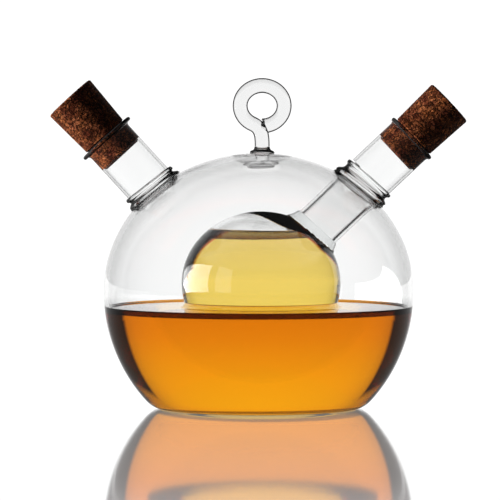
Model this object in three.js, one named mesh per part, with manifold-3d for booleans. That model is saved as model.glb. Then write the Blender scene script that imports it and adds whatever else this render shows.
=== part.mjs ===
import * as THREE from 'three';
import { mergeVertices } from 'three/addons/utils/BufferGeometryUtils.js';
import Module from 'manifold-3d';

// Oil and vinegar cruet of lamp-worked glass: a globe with two slanting corked necks, the right one
// leading to a bulb hung inside. Millimetres, +Z up, origin in the middle of the base, front towards -Y.

// Globe: round above the equator, fuller below it, cut short by a flat base.
const GLOBE_RADIUS = 60;
const GLOBE_WALL = 1.8;
const EQUATOR_HEIGHT = 45.5;
const CROWN_RISE = 53.2;
const BOWL_DEPTH = 62;
const BASE_THICKNESS = 2.4;
const HEEL = 3;

// Bulb inside the globe, hung a little off the middle.
const BULB_RADIUS = 30.8;
const BULB_HALF_HEIGHT = 27.9;
const BULB_WALL = 1.5;
const BULB_CENTRE = new THREE.Vector3(1, 0, 48.2);

// Neck tubing, shared by both necks; the part that runs on to the bulb is drawn slimmer.
const NECK_RADIUS = 9.7;
const NECK_WALL = 0.9;
const FEED_RADIUS = 9.2;
const FEED_TAPER = 4;
const LIP_EDGE = 0.4;

// Each neck: lean above the level, height at which its axis crosses the middle line, length outside the
// globe, its flared lip, the seal round its foot and its cork.
const LEFT = {
  side: -1,
  lean: 47.5,
  crossing: 40.3,
  length: 27.4,
  lipRadius: 12,
  lipThickness: 1.9,
  sealFoot: 11.8,
  sealRidge: 11.2,
  sealRise: 3.2,
  corkOut: 20.6,
  corkTop: 10.5,
  corkMouth: 9.5,
};
const RIGHT = {
  side: 1,
  lean: 43.3,
  crossing: 48.5,
  length: 27.9,
  lipRadius: 10.8,
  lipThickness: 1.9,
  sealFoot: 11.6,
  sealRidge: 10.8,
  sealRise: 5.2,
  corkOut: 19.5,
  corkTop: 9.9,
  corkMouth: 9.3,
};
const SEAL_BEAD = 0.85;
const BEAD_TURN = THREE.MathUtils.degToRad(60);
const BULB_SEAL_RADIUS = 11.7;
const BULB_SEAL_RISE = 2.6;
const BULB_SEAL_EDGE = 0.3;

// Corks: straight tapers, squeezed where they are pressed into the neck.
const CORK_IN = 9.7;
const CORK_CHAMFER = 0.5;
const CORK_NARROWING = 0.3;
const CORK_SPREAD = 0.4;

// Handle: one glass rod that rises from a fused foot, bends into a loop and ends against its own stem.
// Angles run anticlockwise round the loop from its right side. The crown is thick below the foot.
const ROD_RADIUS = 2.9;
const HANDLE_OFFSET = 1.4;
const STEM_RISE = 5.1;
const STEM_BEND = 3.8;
const STEM_JOIN = THREE.MathUtils.degToRad(245);
const LOOP_HALF_WIDTH = 8.5;
const LOOP_HALF_HEIGHT = 7.8;
const LOOP_TOP = THREE.MathUtils.degToRad(90);
const ROD_END = THREE.MathUtils.degToRad(-86);
const FOOT_RADIUS = 4.1;
const FOOT_RISE = 2.4;
const FOOT_SINK = 1;
const DROP_RADIUS = 7.4;
const DROP_DEPTH = 5.2;

// Contents.
const VINEGAR_LEVEL = 38.1;
const OIL_LEVEL = 66.9;

// Clearances between pieces, and how far a hole is cut to either side of the globe's wall.
const SEAL_GAP = 0.3;
const CORK_GAP = 0.25;
const LIQUID_GAP = 0.4;
const CUT_REACH = 5.4;

// Facets round each kind of piece, then along its curves.
const GLOBE_SIDES = 40;
const BULB_SIDES = 32;
const NECK_SIDES = 30;
const ROD_SIDES = 12;
const FOOT_SIDES = 24;
const HEEL_STEPS = 3;
const BOWL_STEPS = 6;
const CROWN_STEPS = 12;
const BULB_STEPS = 16;
const LIP_STEPS = 6;
const MOUTH_STEPS = 2;
const SEAL_STEPS = 4;
const FOOT_BEAD_STEPS = 3;
const FOOT_STEPS = 4;
const DROP_STEPS = 8;
const RISING_STEPS = 24;
const FALLING_STEPS = 18;
const WELD = 1e-4;

const NECK_BORE = NECK_RADIUS - NECK_WALL;
const FEED_BORE = FEED_RADIUS - NECK_WALL;
const CROWN_HEIGHT = EQUATOR_HEIGHT + CROWN_RISE;
const UP = new THREE.Vector3(0, 0, 1);
const QUARTER = Math.PI / 2;

const wasm = await Module();
wasm.setup();

const toSolid = (geometry) => {
  geometry.deleteAttribute('normal');
  geometry.deleteAttribute('uv');
  const welded = mergeVertices(geometry, WELD);
  const corners = [...welded.index.array];
  const kept = [];
  for (let i = 0; i < corners.length; i += 3) {
    const [a, b, c] = corners.slice(i, i + 3);
    if (a !== b && b !== c && c !== a) kept.push(a, b, c);
  }
  return new wasm.Manifold(new wasm.Mesh({
    numProp: 3,
    vertProperties: new Float32Array(welded.attributes.position.array),
    triVerts: new Uint32Array(kept),
  }));
};

const toGeometry = (solid) => {
  const { vertProperties, triVerts } = solid.getMesh();
  const geometry = new THREE.BufferGeometry();
  geometry.setAttribute('position', new THREE.BufferAttribute(vertProperties, 3));
  geometry.setIndex(new THREE.BufferAttribute(triVerts, 1));
  return geometry;
};

const arc = (x, y, xRadius, yRadius, from, to, steps) =>
  new THREE.EllipseCurve(x, y, xRadius, yRadius, from, to, to < from).getPoints(steps);

const point = (x, y) => new THREE.Vector2(x, y);

// A piece turned about +Z from an outline of radius and height.
const turned = (outline, sides) => new THREE.LatheGeometry(outline, sides).rotateX(QUARTER);

const ringOutline = (outline) => [...outline, outline[0].clone()];

const globeOutline = (inset, floor) => {
  const radius = GLOBE_RADIUS - inset;
  const bowl = BOWL_DEPTH - inset;
  const drop = EQUATOR_HEIGHT - floor;
  const edge = radius * Math.sqrt(1 - (drop / bowl) ** 2);
  const heelAngle = Math.asin((drop - HEEL) / bowl);
  const wall = arc(0, EQUATOR_HEIGHT, radius, bowl, -heelAngle, 0, BOWL_STEPS);
  const heel = new THREE.QuadraticBezierCurve(point(edge - HEEL, floor), point(edge, floor), wall[0]);
  const crown = arc(0, EQUATOR_HEIGHT, radius, CROWN_RISE - inset, 0, QUARTER, CROWN_STEPS);
  return [point(0, floor), ...heel.getPoints(HEEL_STEPS), ...wall.slice(1), ...crown.slice(1)];
};
const globeBody = (inset, floor) => turned(globeOutline(inset, floor), GLOBE_SIDES);

const bulbBody = (inset) => {
  const outline = arc(0, 0, BULB_RADIUS - inset, BULB_HALF_HEIGHT - inset, -QUARTER, QUARTER, BULB_STEPS);
  return turned(outline, BULB_SIDES).translate(...BULB_CENTRE.toArray());
};

// A plain round bar along +Z between two heights.
const bar = (radius, low, high) =>
  turned([point(0, low), point(radius, low), point(radius, high), point(0, high)], NECK_SIDES);

// The slab of space above a level, wide enough to cover the whole globe.
const above = (level) => {
  const wide = 2 * (GLOBE_RADIUS + CROWN_HEIGHT);
  return new THREE.BoxGeometry(wide, wide, wide).translate(0, 0, level + wide / 2);
};

// A neck's own frame: +Z out along its axis, origin where the axis leaves the globe.
const neckFrame = (neck) => {
  const lean = THREE.MathUtils.degToRad(neck.lean);
  const outward = new THREE.Vector3(neck.side * Math.cos(lean), 0, Math.sin(lean));
  const rise = neck.crossing - EQUATOR_HEIGHT;
  const a = (outward.x / GLOBE_RADIUS) ** 2 + (outward.z / CROWN_RISE) ** 2;
  const b = (outward.z * rise) / CROWN_RISE ** 2;
  const c = (rise / CROWN_RISE) ** 2 - 1;
  const reach = (Math.sqrt(b * b - a * c) - b) / a;
  const turn = new THREE.Quaternion().setFromUnitVectors(UP, outward);
  const place = new THREE.Vector3(0, 0, neck.crossing).addScaledVector(outward, reach);
  return new THREE.Matrix4().compose(place, turn, new THREE.Vector3(1, 1, 1));
};

const leftFrame = neckFrame(LEFT);
const rightFrame = neckFrame(RIGHT);
const inFrame = (geometry, frame) => geometry.applyMatrix4(frame.clone().invert());

// Where the right neck's axis enters the bulb, measured along the neck's own frame.
const bulbInNeck = BULB_CENTRE.clone().applyMatrix4(rightFrame.clone().invert());
const bulbEntry = (() => {
  const lean = THREE.MathUtils.degToRad(RIGHT.lean);
  const flat = Math.hypot(Math.cos(lean) / BULB_RADIUS, Math.sin(lean) / BULB_HALF_HEIGHT);
  return bulbInNeck.z + 1 / flat;
})();

const lipOutline = (neck, low, lowBore, lowRadius, waist) => {
  const under = neck.length - neck.lipThickness;
  const round = neck.lipThickness / 2;
  const lip = arc(neck.lipRadius - round, neck.length - round, round, round, -QUARTER, QUARTER, LIP_STEPS);
  const edge = point(NECK_BORE + LIP_EDGE, neck.length - LIP_EDGE);
  const mouth = arc(edge.x, edge.y, LIP_EDGE, LIP_EDGE, QUARTER, Math.PI, MOUTH_STEPS);
  return [
    point(lowBore, low),
    point(lowRadius, low),
    ...(waist ? [point(lowRadius, waist - FEED_TAPER), point(NECK_RADIUS, waist)] : []),
    point(NECK_RADIUS, under),
    ...lip,
    ...mouth,
    ...(waist ? [point(NECK_BORE, waist), point(lowBore, waist - FEED_TAPER)] : []),
  ];
};

// A neck's seal: melted glass round the tube, swollen into a broad bead at its foot and a slimmer one
// above, with a groove between them.
const sealOutline = (neck) => {
  const inner = NECK_RADIUS + SEAL_GAP;
  const footRise = neck.sealRise - 2 * SEAL_BEAD;
  const footBead = arc(inner, 0, neck.sealFoot - inner, footRise, 0, BEAD_TURN, FOOT_BEAD_STEPS);
  const middle = neck.sealRise - SEAL_BEAD;
  const upperBead = arc(inner, middle, neck.sealRidge - inner, SEAL_BEAD, -BEAD_TURN, QUARTER, SEAL_STEPS);
  return [point(inner, -CUT_REACH), point(neck.sealFoot, -CUT_REACH), ...footBead, ...upperBead];
};

// The bulb's seal: the tube's foot spread in a hollow curve on to the bulb.
const bulbSealOutline = () => {
  const inner = FEED_RADIUS + SEAL_GAP;
  const spread = BULB_SEAL_RADIUS - inner - BULB_SEAL_EDGE;
  return [
    point(inner, -CUT_REACH),
    point(BULB_SEAL_RADIUS, -CUT_REACH),
    ...arc(BULB_SEAL_RADIUS, BULB_SEAL_RISE, spread, BULB_SEAL_RISE, -QUARTER, -Math.PI, SEAL_STEPS),
    point(inner, BULB_SEAL_RISE),
  ];
};

const sealOn = (outline, low, wall) =>
  toSolid(turned(ringOutline(outline), NECK_SIDES).translate(0, 0, low)).subtract(wall);

const corkOutline = (neck) => {
  const pressed = NECK_BORE - CORK_GAP;
  const low = neck.length - CORK_IN;
  const shoulder = neck.length + CORK_GAP;
  const top = neck.length + neck.corkOut;
  return [
    point(0, low),
    point(pressed - CORK_NARROWING - CORK_CHAMFER, low),
    point(pressed - CORK_NARROWING, low + CORK_CHAMFER),
    point(pressed, neck.length - LIP_EDGE),
    point(pressed, shoulder),
    point(neck.corkMouth, shoulder + CORK_SPREAD),
    point(neck.corkTop, top - CORK_CHAMFER),
    point(neck.corkTop - CORK_CHAMFER, top),
    point(0, top),
  ];
};

// Outer globe, open to the left neck's bore and to the tube that passes through on the right.
const globeHollow = toSolid(globeBody(GLOBE_WALL, BASE_THICKNESS));
const dropShape = toSolid(
  turned(arc(0, 0, DROP_RADIUS, DROP_DEPTH, -QUARTER, QUARTER, DROP_STEPS), FOOT_SIDES)
    .translate(HANDLE_OFFSET, 0, CROWN_HEIGHT),
);
const leftHole = toSolid(bar(NECK_BORE, -CUT_REACH, CUT_REACH).applyMatrix4(leftFrame));
const rightHole = toSolid(bar(NECK_RADIUS + SEAL_GAP, -CUT_REACH, CUT_REACH).applyMatrix4(rightFrame));
const outerGlobe = toSolid(globeBody(0, 0))
  .subtract(globeHollow.subtract(dropShape))
  .subtract(leftHole)
  .subtract(rightHole);

// Left neck, standing on the globe, with its seal.
const globeAtLeft = toSolid(inFrame(globeBody(-SEAL_GAP, 0), leftFrame));
const leftOutline = lipOutline(LEFT, -CUT_REACH, NECK_BORE, NECK_RADIUS, null);
const leftNeck = toSolid(turned(ringOutline(leftOutline), NECK_SIDES)).subtract(globeAtLeft);
const leftSeal = sealOn(sealOutline(LEFT), 0, globeAtLeft);

// Right neck, one tube from its lip through the globe down to the bulb, with a seal at each wall.
const globeAtRight = toSolid(inFrame(globeBody(-SEAL_GAP, 0), rightFrame));
const bulbAtRight = toSolid(inFrame(bulbBody(-SEAL_GAP), rightFrame));
const waist = -GLOBE_WALL - FEED_TAPER;
const rightOutline = lipOutline(RIGHT, bulbInNeck.z, FEED_BORE, FEED_RADIUS, waist);
const rightNeck = toSolid(turned(ringOutline(rightOutline), NECK_SIDES)).subtract(bulbAtRight);
const rightSeal = sealOn(sealOutline(RIGHT), 0, globeAtRight);
const bulbSeal = sealOn(bulbSealOutline(), bulbEntry, bulbAtRight);

// Inner bulb, open to the feed tube.
const feedHole = toSolid(bar(FEED_BORE, bulbInNeck.z, waist).applyMatrix4(rightFrame));
const innerBulb = toSolid(bulbBody(0)).subtract(toSolid(bulbBody(BULB_WALL))).subtract(feedHole);

// Vinegar lies in the globe round the bulb; oil fills the bulb and stands a little way up its tube.
const vinegar = toSolid(globeBody(GLOBE_WALL + LIQUID_GAP, BASE_THICKNESS + LIQUID_GAP))
  .subtract(toSolid(bulbBody(-LIQUID_GAP)))
  .subtract(toSolid(above(VINEGAR_LEVEL)));
const oilInTube = toSolid(bar(FEED_BORE - LIQUID_GAP, bulbInNeck.z, waist).applyMatrix4(rightFrame));
const oil = toSolid(bulbBody(BULB_WALL + LIQUID_GAP))
  .add(oilInTube)
  .subtract(toSolid(above(OIL_LEVEL)));

// Handle: the rod in two sweeps, up from the foot to the loop's top and down again to its end.
const footTop = CROWN_HEIGHT + FOOT_RISE;
const loopHeight = footTop + STEM_RISE + ROD_RADIUS + LOOP_HALF_HEIGHT;

class LoopArc extends THREE.Curve {
  constructor(from, to) {
    super();
    this.from = from;
    this.to = to;
  }

  getPoint(t, target = new THREE.Vector3()) {
    const angle = THREE.MathUtils.lerp(this.from, this.to, t);
    const x = HANDLE_OFFSET + LOOP_HALF_WIDTH * Math.cos(angle);
    return target.set(x, 0, loopHeight + LOOP_HALF_HEIGHT * Math.sin(angle));
  }
}

const risingArc = new LoopArc(STEM_JOIN, LOOP_TOP);
const stemFoot = new THREE.Vector3(HANDLE_OFFSET, 0, footTop + SEAL_GAP);
const stemHead = risingArc.getPoint(0);
const stem = new THREE.CubicBezierCurve3(
  stemFoot,
  stemFoot.clone().addScaledVector(UP, STEM_BEND),
  stemHead.clone().addScaledVector(risingArc.getTangent(0), -STEM_BEND),
  stemHead,
);
const risingRod = new THREE.CurvePath();
risingRod.add(stem);
risingRod.add(risingArc);
const fallingRod = new LoopArc(LOOP_TOP, ROD_END);
const rodSection = new THREE.Shape(arc(0, 0, ROD_RADIUS, ROD_RADIUS, 0, 2 * Math.PI, ROD_SIDES).slice(1));
const rodAlong = (path, steps) =>
  toSolid(new THREE.ExtrudeGeometry(rodSection, { extrudePath: path, steps, bevelEnabled: false }));
const loopHandle = rodAlong(risingRod, RISING_STEPS).add(rodAlong(fallingRod, FALLING_STEPS));

const footOutline = [
  point(0, -FOOT_SINK),
  point(FOOT_RADIUS, -FOOT_SINK),
  ...arc(FOOT_RADIUS, FOOT_RISE, FOOT_RADIUS - ROD_RADIUS, FOOT_RISE, -QUARTER, -Math.PI, FOOT_STEPS),
  point(0, FOOT_RISE),
];
const handleFoot = toSolid(turned(footOutline, FOOT_SIDES).translate(HANDLE_OFFSET, 0, CROWN_HEIGHT))
  .subtract(toSolid(globeBody(-SEAL_GAP, 0)));

const clearGlass = () => new THREE.MeshStandardMaterial({ color: 0xdfe8ea, roughness: 0.05, metalness: 0 });
const darkCork = () => new THREE.MeshStandardMaterial({ color: 0x4a2a1c, roughness: 0.85, metalness: 0 });
const amber = () => new THREE.MeshStandardMaterial({ color: 0xe08a1a, roughness: 0.08, metalness: 0 });
const golden = () => new THREE.MeshStandardMaterial({ color: 0xf0d068, roughness: 0.08, metalness: 0 });

const piece = (name, geometry, material) => {
  geometry.computeVertexNormals();
  const mesh = new THREE.Mesh(geometry, material);
  mesh.name = name;
  return mesh;
};

const group = (name, frame, ...children) => {
  const node = new THREE.Group();
  node.name = name;
  node.applyMatrix4(frame);
  node.add(...children);
  return node;
};

const here = new THREE.Matrix4();
const vessel = group(
  'vessel',
  here,
  piece('outer_globe', toGeometry(outerGlobe), clearGlass()),
  piece('inner_bulb', toGeometry(innerBulb), clearGlass()),
  piece('vinegar', toGeometry(vinegar), amber()),
  piece('oil', toGeometry(oil), golden()),
  piece('handle_foot', toGeometry(handleFoot), clearGlass()),
  piece('loop_handle', toGeometry(loopHandle), clearGlass()),
);
const leftSide = group(
  'left_side',
  leftFrame,
  piece('left_neck', toGeometry(leftNeck), clearGlass()),
  piece('left_neck_seal', toGeometry(leftSeal), clearGlass()),
  piece('left_cork', turned(corkOutline(LEFT), NECK_SIDES), darkCork()),
);
const rightSide = group(
  'right_side',
  rightFrame,
  piece('right_neck', toGeometry(rightNeck), clearGlass()),
  piece('right_neck_seal', toGeometry(rightSeal), clearGlass()),
  piece('bulb_seal', toGeometry(bulbSeal), clearGlass()),
  piece('right_cork', turned(corkOutline(RIGHT), NECK_SIDES), darkCork()),
);

const cruet = group('cruet', here, vessel, leftSide, rightSide);
export default cruet;
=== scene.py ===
import math

import bmesh
import bpy
from mathutils import Matrix, Vector, noise


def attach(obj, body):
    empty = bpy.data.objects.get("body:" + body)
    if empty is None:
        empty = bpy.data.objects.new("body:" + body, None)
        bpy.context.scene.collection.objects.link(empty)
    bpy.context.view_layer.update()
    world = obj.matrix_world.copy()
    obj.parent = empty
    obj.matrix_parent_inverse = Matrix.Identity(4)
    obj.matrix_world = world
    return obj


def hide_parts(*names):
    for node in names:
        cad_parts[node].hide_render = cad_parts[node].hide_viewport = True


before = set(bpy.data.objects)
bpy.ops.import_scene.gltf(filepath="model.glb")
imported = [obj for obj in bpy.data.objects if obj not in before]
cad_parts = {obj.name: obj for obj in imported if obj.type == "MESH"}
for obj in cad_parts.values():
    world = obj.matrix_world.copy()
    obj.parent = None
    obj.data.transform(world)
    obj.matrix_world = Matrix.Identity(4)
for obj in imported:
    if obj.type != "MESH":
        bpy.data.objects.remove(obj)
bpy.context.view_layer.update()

# Outer globe: the body of the cruet, blown from clear borosilicate tubing and set down hot on a
# flat plate for its base. Its crown is thick and rippled inside, where the handle was fused on,
# and it is open to the two necks at its shoulders.
MILLIMETRE = 0.001
GLOBE_RADIUS = 60.0
GLOBE_WALL = 1.8
EQUATOR_HEIGHT = 45.5
CROWN_RISE = 53.2
BOWL_DEPTH = 62.0
BASE_THICKNESS = 2.4
HEEL = 3.0
GLOBE_SIDES = 144
BOWL_STEPS = 28
CROWN_STEPS = 44
HEEL_STEPS = 8
WELD = 1e-4
SHARP_EDGE = math.radians(38)
VINEGAR_BRIM = 39.6
RIPPLE_OUTLINE = [
    (9.6, 96.25), (8.6, 95.95), (7.9, 95.35), (6.9, 95.25), (6.7, 94.85), (7.0, 94.45), (6.5, 94.0),
    (5.5, 94.0), (5.3, 93.65), (5.4, 93.3), (4.4, 92.9), (2.6, 92.75), (1.2, 92.7),
]
RIPPLE_STEPS = 5
RIPPLE_REACH = 10.5
RIPPLE_FADE = 40.0
RIPPLE_OFFSET = 0.8


def arc(centre, radii, start, end, steps):
    """Points on an ellipse's arc between two angles in degrees."""
    turns = [math.radians(start + (end - start) * i / steps) for i in range(steps + 1)]
    return [(centre[0] + radii[0] * math.cos(t), centre[1] + radii[1] * math.sin(t)) for t in turns]


def bend(start, corner, end, steps):
    """Points on a curve that leaves start towards corner and reaches end from it."""
    points = []
    for i in range(steps + 1):
        t = i / steps
        shares = ((1 - t) ** 2, 2 * t * (1 - t), t * t)
        points.append(tuple(sum(w * p[k] for w, p in zip(shares, (start, corner, end))) for k in (0, 1)))
    return points


def flowing(points, steps):
    """A smooth outline through a few points."""
    line = [points[0]] + list(points) + [points[-1]]
    made = []
    for a, b, c, d in zip(line, line[1:], line[2:], line[3:]):
        for i in range(steps):
            t = i / steps
            shares = (
                (-t + 2 * t * t - t ** 3) / 2,
                (2 - 5 * t * t + 3 * t ** 3) / 2,
                (t + 4 * t * t - 3 * t ** 3) / 2,
                (t ** 3 - t * t) / 2,
            )
            made.append(tuple(sum(w * p[k] for w, p in zip(shares, (a, b, c, d))) for k in (0, 1)))
    return made + [points[-1]]


def weld(form, before):
    """Joins the seams of the faces made since before, turns them outwards and returns them."""
    fresh = {vert for face in form.faces if face not in before for vert in face.verts}
    bmesh.ops.remove_doubles(form, verts=[vert for vert in form.verts if vert in fresh], dist=WELD)
    faces = [face for face in form.faces if face not in before]
    bmesh.ops.recalc_face_normals(form, faces=faces)
    return faces


def turn(form, outline, sides, closed=False):
    """Turns an outline of radius and height about +Z, faces outwards, and returns the new faces."""
    before = set(form.faces)
    line = [form.verts.new((radius, 0, height)) for radius, height in outline]
    pairs = list(zip(line, line[1:])) + ([(line[-1], line[0])] if closed else [])
    edges = [form.edges.new(pair) for pair in pairs]
    bmesh.ops.spin(
        form,
        geom=line + edges,
        axis=(0, 0, 1),
        cent=(0, 0, 0),
        angle=2 * math.pi,
        steps=sides,
        use_merge=True,
    )
    return weld(form, before)


def turn_runs(form, runs, sides):
    """Turns an outline given in runs, each with its own finish, and joins them into one skin."""
    before = set(form.faces)
    for finish, outline in enumerate(runs):
        for face in turn(form, outline, sides):
            face.material_index = finish
    return weld(form, before)


def settle(name, form, *finishes):
    """Makes the finished form, drawn in millimetres, an object at the origin."""
    bmesh.ops.scale(form, vec=(MILLIMETRE,) * 3, verts=form.verts)
    mesh = bpy.data.meshes.new(name)
    form.to_mesh(mesh)
    form.free()
    mesh.shade_smooth()
    mesh.set_sharp_from_angle(angle=SHARP_EDGE)
    for finish in finishes:
        mesh.materials.append(finish)
    piece = bpy.data.objects.new(name, mesh)
    bpy.context.scene.collection.objects.link(piece)
    return piece


def ease(low, high, value):
    """0 at or below low, 1 at or above high, and smooth between."""
    t = min(max((value - low) / (high - low), 0), 1)
    return t * t * (3 - 2 * t)


def globe_outline(inset, floor):
    """The globe's outline at some depth in its wall, from the middle of a floor up to its crown."""
    radius = GLOBE_RADIUS - inset
    bowl = BOWL_DEPTH - inset
    crown = CROWN_RISE - inset
    drop = EQUATOR_HEIGHT - floor
    edge = radius * math.sqrt(1 - (drop / bowl) ** 2)
    heel_angle = -math.degrees(math.asin((drop - HEEL) / bowl))
    wall = arc((0, EQUATOR_HEIGHT), (radius, bowl), heel_angle, 0, BOWL_STEPS)
    top = arc((0, EQUATOR_HEIGHT), (radius, crown), 0, 90, CROWN_STEPS)
    heel = bend((edge - HEEL, floor), (edge, floor), wall[0], HEEL_STEPS)
    return [(0, floor)] + heel + wall[1:] + top[1:-1] + [(0, EQUATOR_HEIGHT + crown)]


def landing(start, direction, centre, radii):
    """How far along direction from start the far side of an egg shape is met."""
    a = sum((d / r) ** 2 for d, r in zip(direction, radii))
    b = sum(d * (s - c) / r ** 2 for d, s, c, r in zip(direction, start, centre, radii))
    c = sum(((s - k) / r) ** 2 for s, k, r in zip(start, centre, radii)) - 1
    return (math.sqrt(b * b - a * c) - b) / a


GLOBE_MIDDLE = Vector((0, 0, EQUATOR_HEIGHT))
CROWN_FORM = Vector((GLOBE_RADIUS, GLOBE_RADIUS, CROWN_RISE))
UP = Vector((0, 0, 1))


def neck_frame(side, lean, crossing):
    """A neck's own frame: +Z out along its axis, origin where the axis leaves the globe."""
    slope = math.radians(lean)
    outward = Vector((side * math.cos(slope), 0, math.sin(slope)))
    start = Vector((0, 0, crossing))
    seat = start + outward * landing(start, outward, GLOBE_MIDDLE, CROWN_FORM)
    return Matrix.Translation(seat) @ UP.rotation_difference(outward).to_matrix().to_4x4()


LEFT_LEAN = 47.5
LEFT_CROSSING = 40.3
RIGHT_LEAN = 43.3
RIGHT_CROSSING = 48.5
LEFT_FRAME = neck_frame(-1, LEFT_LEAN, LEFT_CROSSING)
RIGHT_FRAME = neck_frame(1, RIGHT_LEAN, RIGHT_CROSSING)
NECK_RADIUS = 9.7
NECK_BORE = 8.8
THROUGH_HOLE = 9.85
CUT_REACH = 7.0
CUT_SIDES = 96


def drill(piece, radius, neck, low, high):
    """Cuts a round hole through a piece along a neck's axis."""
    form = bmesh.new()
    turn(form, [(0, low), (radius, low), (radius, high), (0, high)], CUT_SIDES)
    bmesh.ops.transform(form, matrix=neck, verts=form.verts)
    cutter = settle("cutter", form)
    cut = piece.modifiers.new("hole", "BOOLEAN")
    cut.operation = "DIFFERENCE"
    cut.solver = "EXACT"
    cut.object = cutter
    cut_piece = piece.evaluated_get(bpy.context.evaluated_depsgraph_get())
    drilled = bpy.data.meshes.new_from_object(cut_piece)
    piece.modifiers.clear()
    piece.data = drilled
    bpy.data.objects.remove(cutter)
    drilled.shade_smooth()
    drilled.set_sharp_from_angle(angle=SHARP_EDGE)


def bare_finish(name):
    """A new material, still plain."""
    material = bpy.data.materials.new(name)
    material.use_nodes = True
    return material


def node(tree, kind, inputs, **settings):
    """Adds a node to a material, with numbers set on its inputs or other nodes linked to them."""
    made = tree.nodes.new("ShaderNode" + kind)
    for name, value in settings.items():
        setattr(made, name, value)
    for name, value in inputs.items():
        if isinstance(value, bpy.types.NodeSocket):
            tree.links.new(value, made.inputs[name])
        else:
            made.inputs[name].default_value = value
    return made


def reckon(tree, operation, *values, clamp=False):
    """A number worked out from other numbers."""
    made = node(tree, "Math", dict(enumerate(values)), operation=operation, use_clamp=clamp)
    return made.outputs["Value"]


def reckon_way(tree, operation, *values):
    """A place or a way, or its measure, worked out from others."""
    made = node(tree, "VectorMath", dict(enumerate(values)), operation=operation)
    return made.outputs["Value" if operation in ("DOT_PRODUCT", "LENGTH") else "Vector"]


def spread(tree, value, low, high, at_low=0.0, at_high=1.0, **settings):
    """A number carried from the range low to high to another range, and held at its ends."""
    span = {"Value": value, "From Min": low, "From Max": high, "To Min": at_low, "To Max": at_high}
    return node(tree, "MapRange", span, **settings).outputs["Result"]


def ramp(tree, value, stops):
    """A run of colours, or of greys given as one number, along a value from 0 to 1."""
    made = node(tree, "ValToRGB", {"Fac": value})
    elements = made.color_ramp.elements
    elements.remove(elements[1])
    for n, (place, shade) in enumerate(stops):
        stop = elements.new(place) if n else elements[0]
        stop.position = place
        stop.color = shade if isinstance(shade, tuple) else (shade, shade, shade, 1)
    return made.outputs["Color"]


def overlay(tree, first, second):
    """Two colours multiplied, like two sheets of stained glass."""
    layers = {"Factor": 1.0, "A": first, "B": second}
    return node(tree, "Mix", layers, data_type="RGBA", blend_type="MULTIPLY").outputs["Result"]


GLASS_BEND = 1.47
WETTED_BEND = 1.0
WHITE = (1, 1, 1, 1)
HAZE_TINT = (0.975, 0.982, 0.98, 1)
HAZE_SCALE = 55.0
HAZE_RANGE = (0.55, 0.8)
HAZE_ROUGHNESS = 0.012
WAVE_SCALE = 42.0
WAVE_STRENGTH = 0.12
WAVE_HEIGHT = 0.0002
FULL_SHINE = 0.5
BLACK_EDGE = 0.1
OPAQUE_EDGE = 0.2
NO_EDGE = [(0.0, 1.0), (1.0, 1.0)]
# Painted shade by how edge-on the glass is seen, from face-on at 0 to edge-on at 1: the globe's shell greys
# towards its outline, and the crown's ripples go near black.
SHELL_EDGE = [(0.0, 1.0), (0.5, 1.0), (0.72, 0.82), (0.9, 0.6), (1.0, 0.5)]
RIPPLE_EDGE = [(0.0, 1.0), (0.45, 1.0), (0.7, 0.15), (1.0, 0.02)]


def glass(name, bend_index, edge):
    """Clear glass with faint waves from the flame, and painted shade that darkens it where it is seen
    edge-on.
    """
    material = bare_finish(name)
    tree = material.node_tree
    shader = tree.nodes["Principled BSDF"]
    shader.inputs["Transmission Weight"].default_value = 1.0
    shader.inputs["IOR"].default_value = bend_index
    place = node(tree, "TexCoord", {}).outputs["Object"]
    haze = node(tree, "TexNoise", {"Vector": place, "Scale": HAZE_SCALE, "Detail": 2.0}).outputs["Fac"]
    tint = ramp(tree, haze, [(0.0, HAZE_TINT), (1.0, WHITE)])
    rim = ramp(tree, node(tree, "LayerWeight", {}).outputs["Facing"], edge)
    tree.links.new(overlay(tree, tint, rim), shader.inputs["Base Color"])
    # Where the painted shade ends near black, the edge also loses its shine and turns opaque.
    if edge[-1][1] < BLACK_EDGE:
        shine = reckon(tree, "MULTIPLY", rim, FULL_SHINE)
        tree.links.new(shine, shader.inputs["Specular IOR Level"])
        clear = spread(tree, rim, 0.0, OPAQUE_EDGE)
        tree.links.new(clear, shader.inputs["Transmission Weight"])
    polish = spread(tree, haze, *HAZE_RANGE, 0.0, HAZE_ROUGHNESS)
    tree.links.new(polish, shader.inputs["Roughness"])
    waves = node(tree, "TexNoise", {"Vector": place, "Scale": WAVE_SCALE, "Detail": 1.0}).outputs["Fac"]
    swell = node(tree, "Bump", {"Height": waves, "Strength": WAVE_STRENGTH, "Distance": WAVE_HEIGHT})
    tree.links.new(swell.outputs["Normal"], shader.inputs["Normal"])
    return material


def wall_radius(height, radius, half_height, middle):
    """The radius of an egg shape at a height."""
    return radius * math.sqrt(1 - ((height - middle) / half_height) ** 2)


WETTED = 1
RIPPLED = 2
clear_glass = glass("clear_glass", GLASS_BEND, SHELL_EDGE)
wetted_glass = glass("wetted_glass", WETTED_BEND, NO_EDGE)
rippled_glass = glass("rippled_glass", GLASS_BEND, RIPPLE_EDGE)
globe_form = bmesh.new()
turn(globe_form, globe_outline(0, 0), GLOBE_SIDES)
hollow_outline = [
    p for p in globe_outline(GLOBE_WALL, BASE_THICKNESS) if p[1] < EQUATOR_HEIGHT or p[0] > RIPPLE_REACH
]
hollow_outline += flowing(RIPPLE_OUTLINE, RIPPLE_STEPS) + [(0, RIPPLE_OUTLINE[-1][1])]
wet_line = (
    wall_radius(VINEGAR_BRIM, GLOBE_RADIUS - GLOBE_WALL, BOWL_DEPTH - GLOBE_WALL, EQUATOR_HEIGHT),
    VINEGAR_BRIM,
)
dry_hollow = [wet_line] + [p for p in hollow_outline if p[1] > VINEGAR_BRIM]
wet_hollow = [p for p in hollow_outline if p[1] < VINEGAR_BRIM] + [wet_line]
hollow_faces = turn_runs(globe_form, [dry_hollow, wet_hollow], GLOBE_SIDES)
bmesh.ops.reverse_faces(globe_form, faces=hollow_faces)
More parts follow.
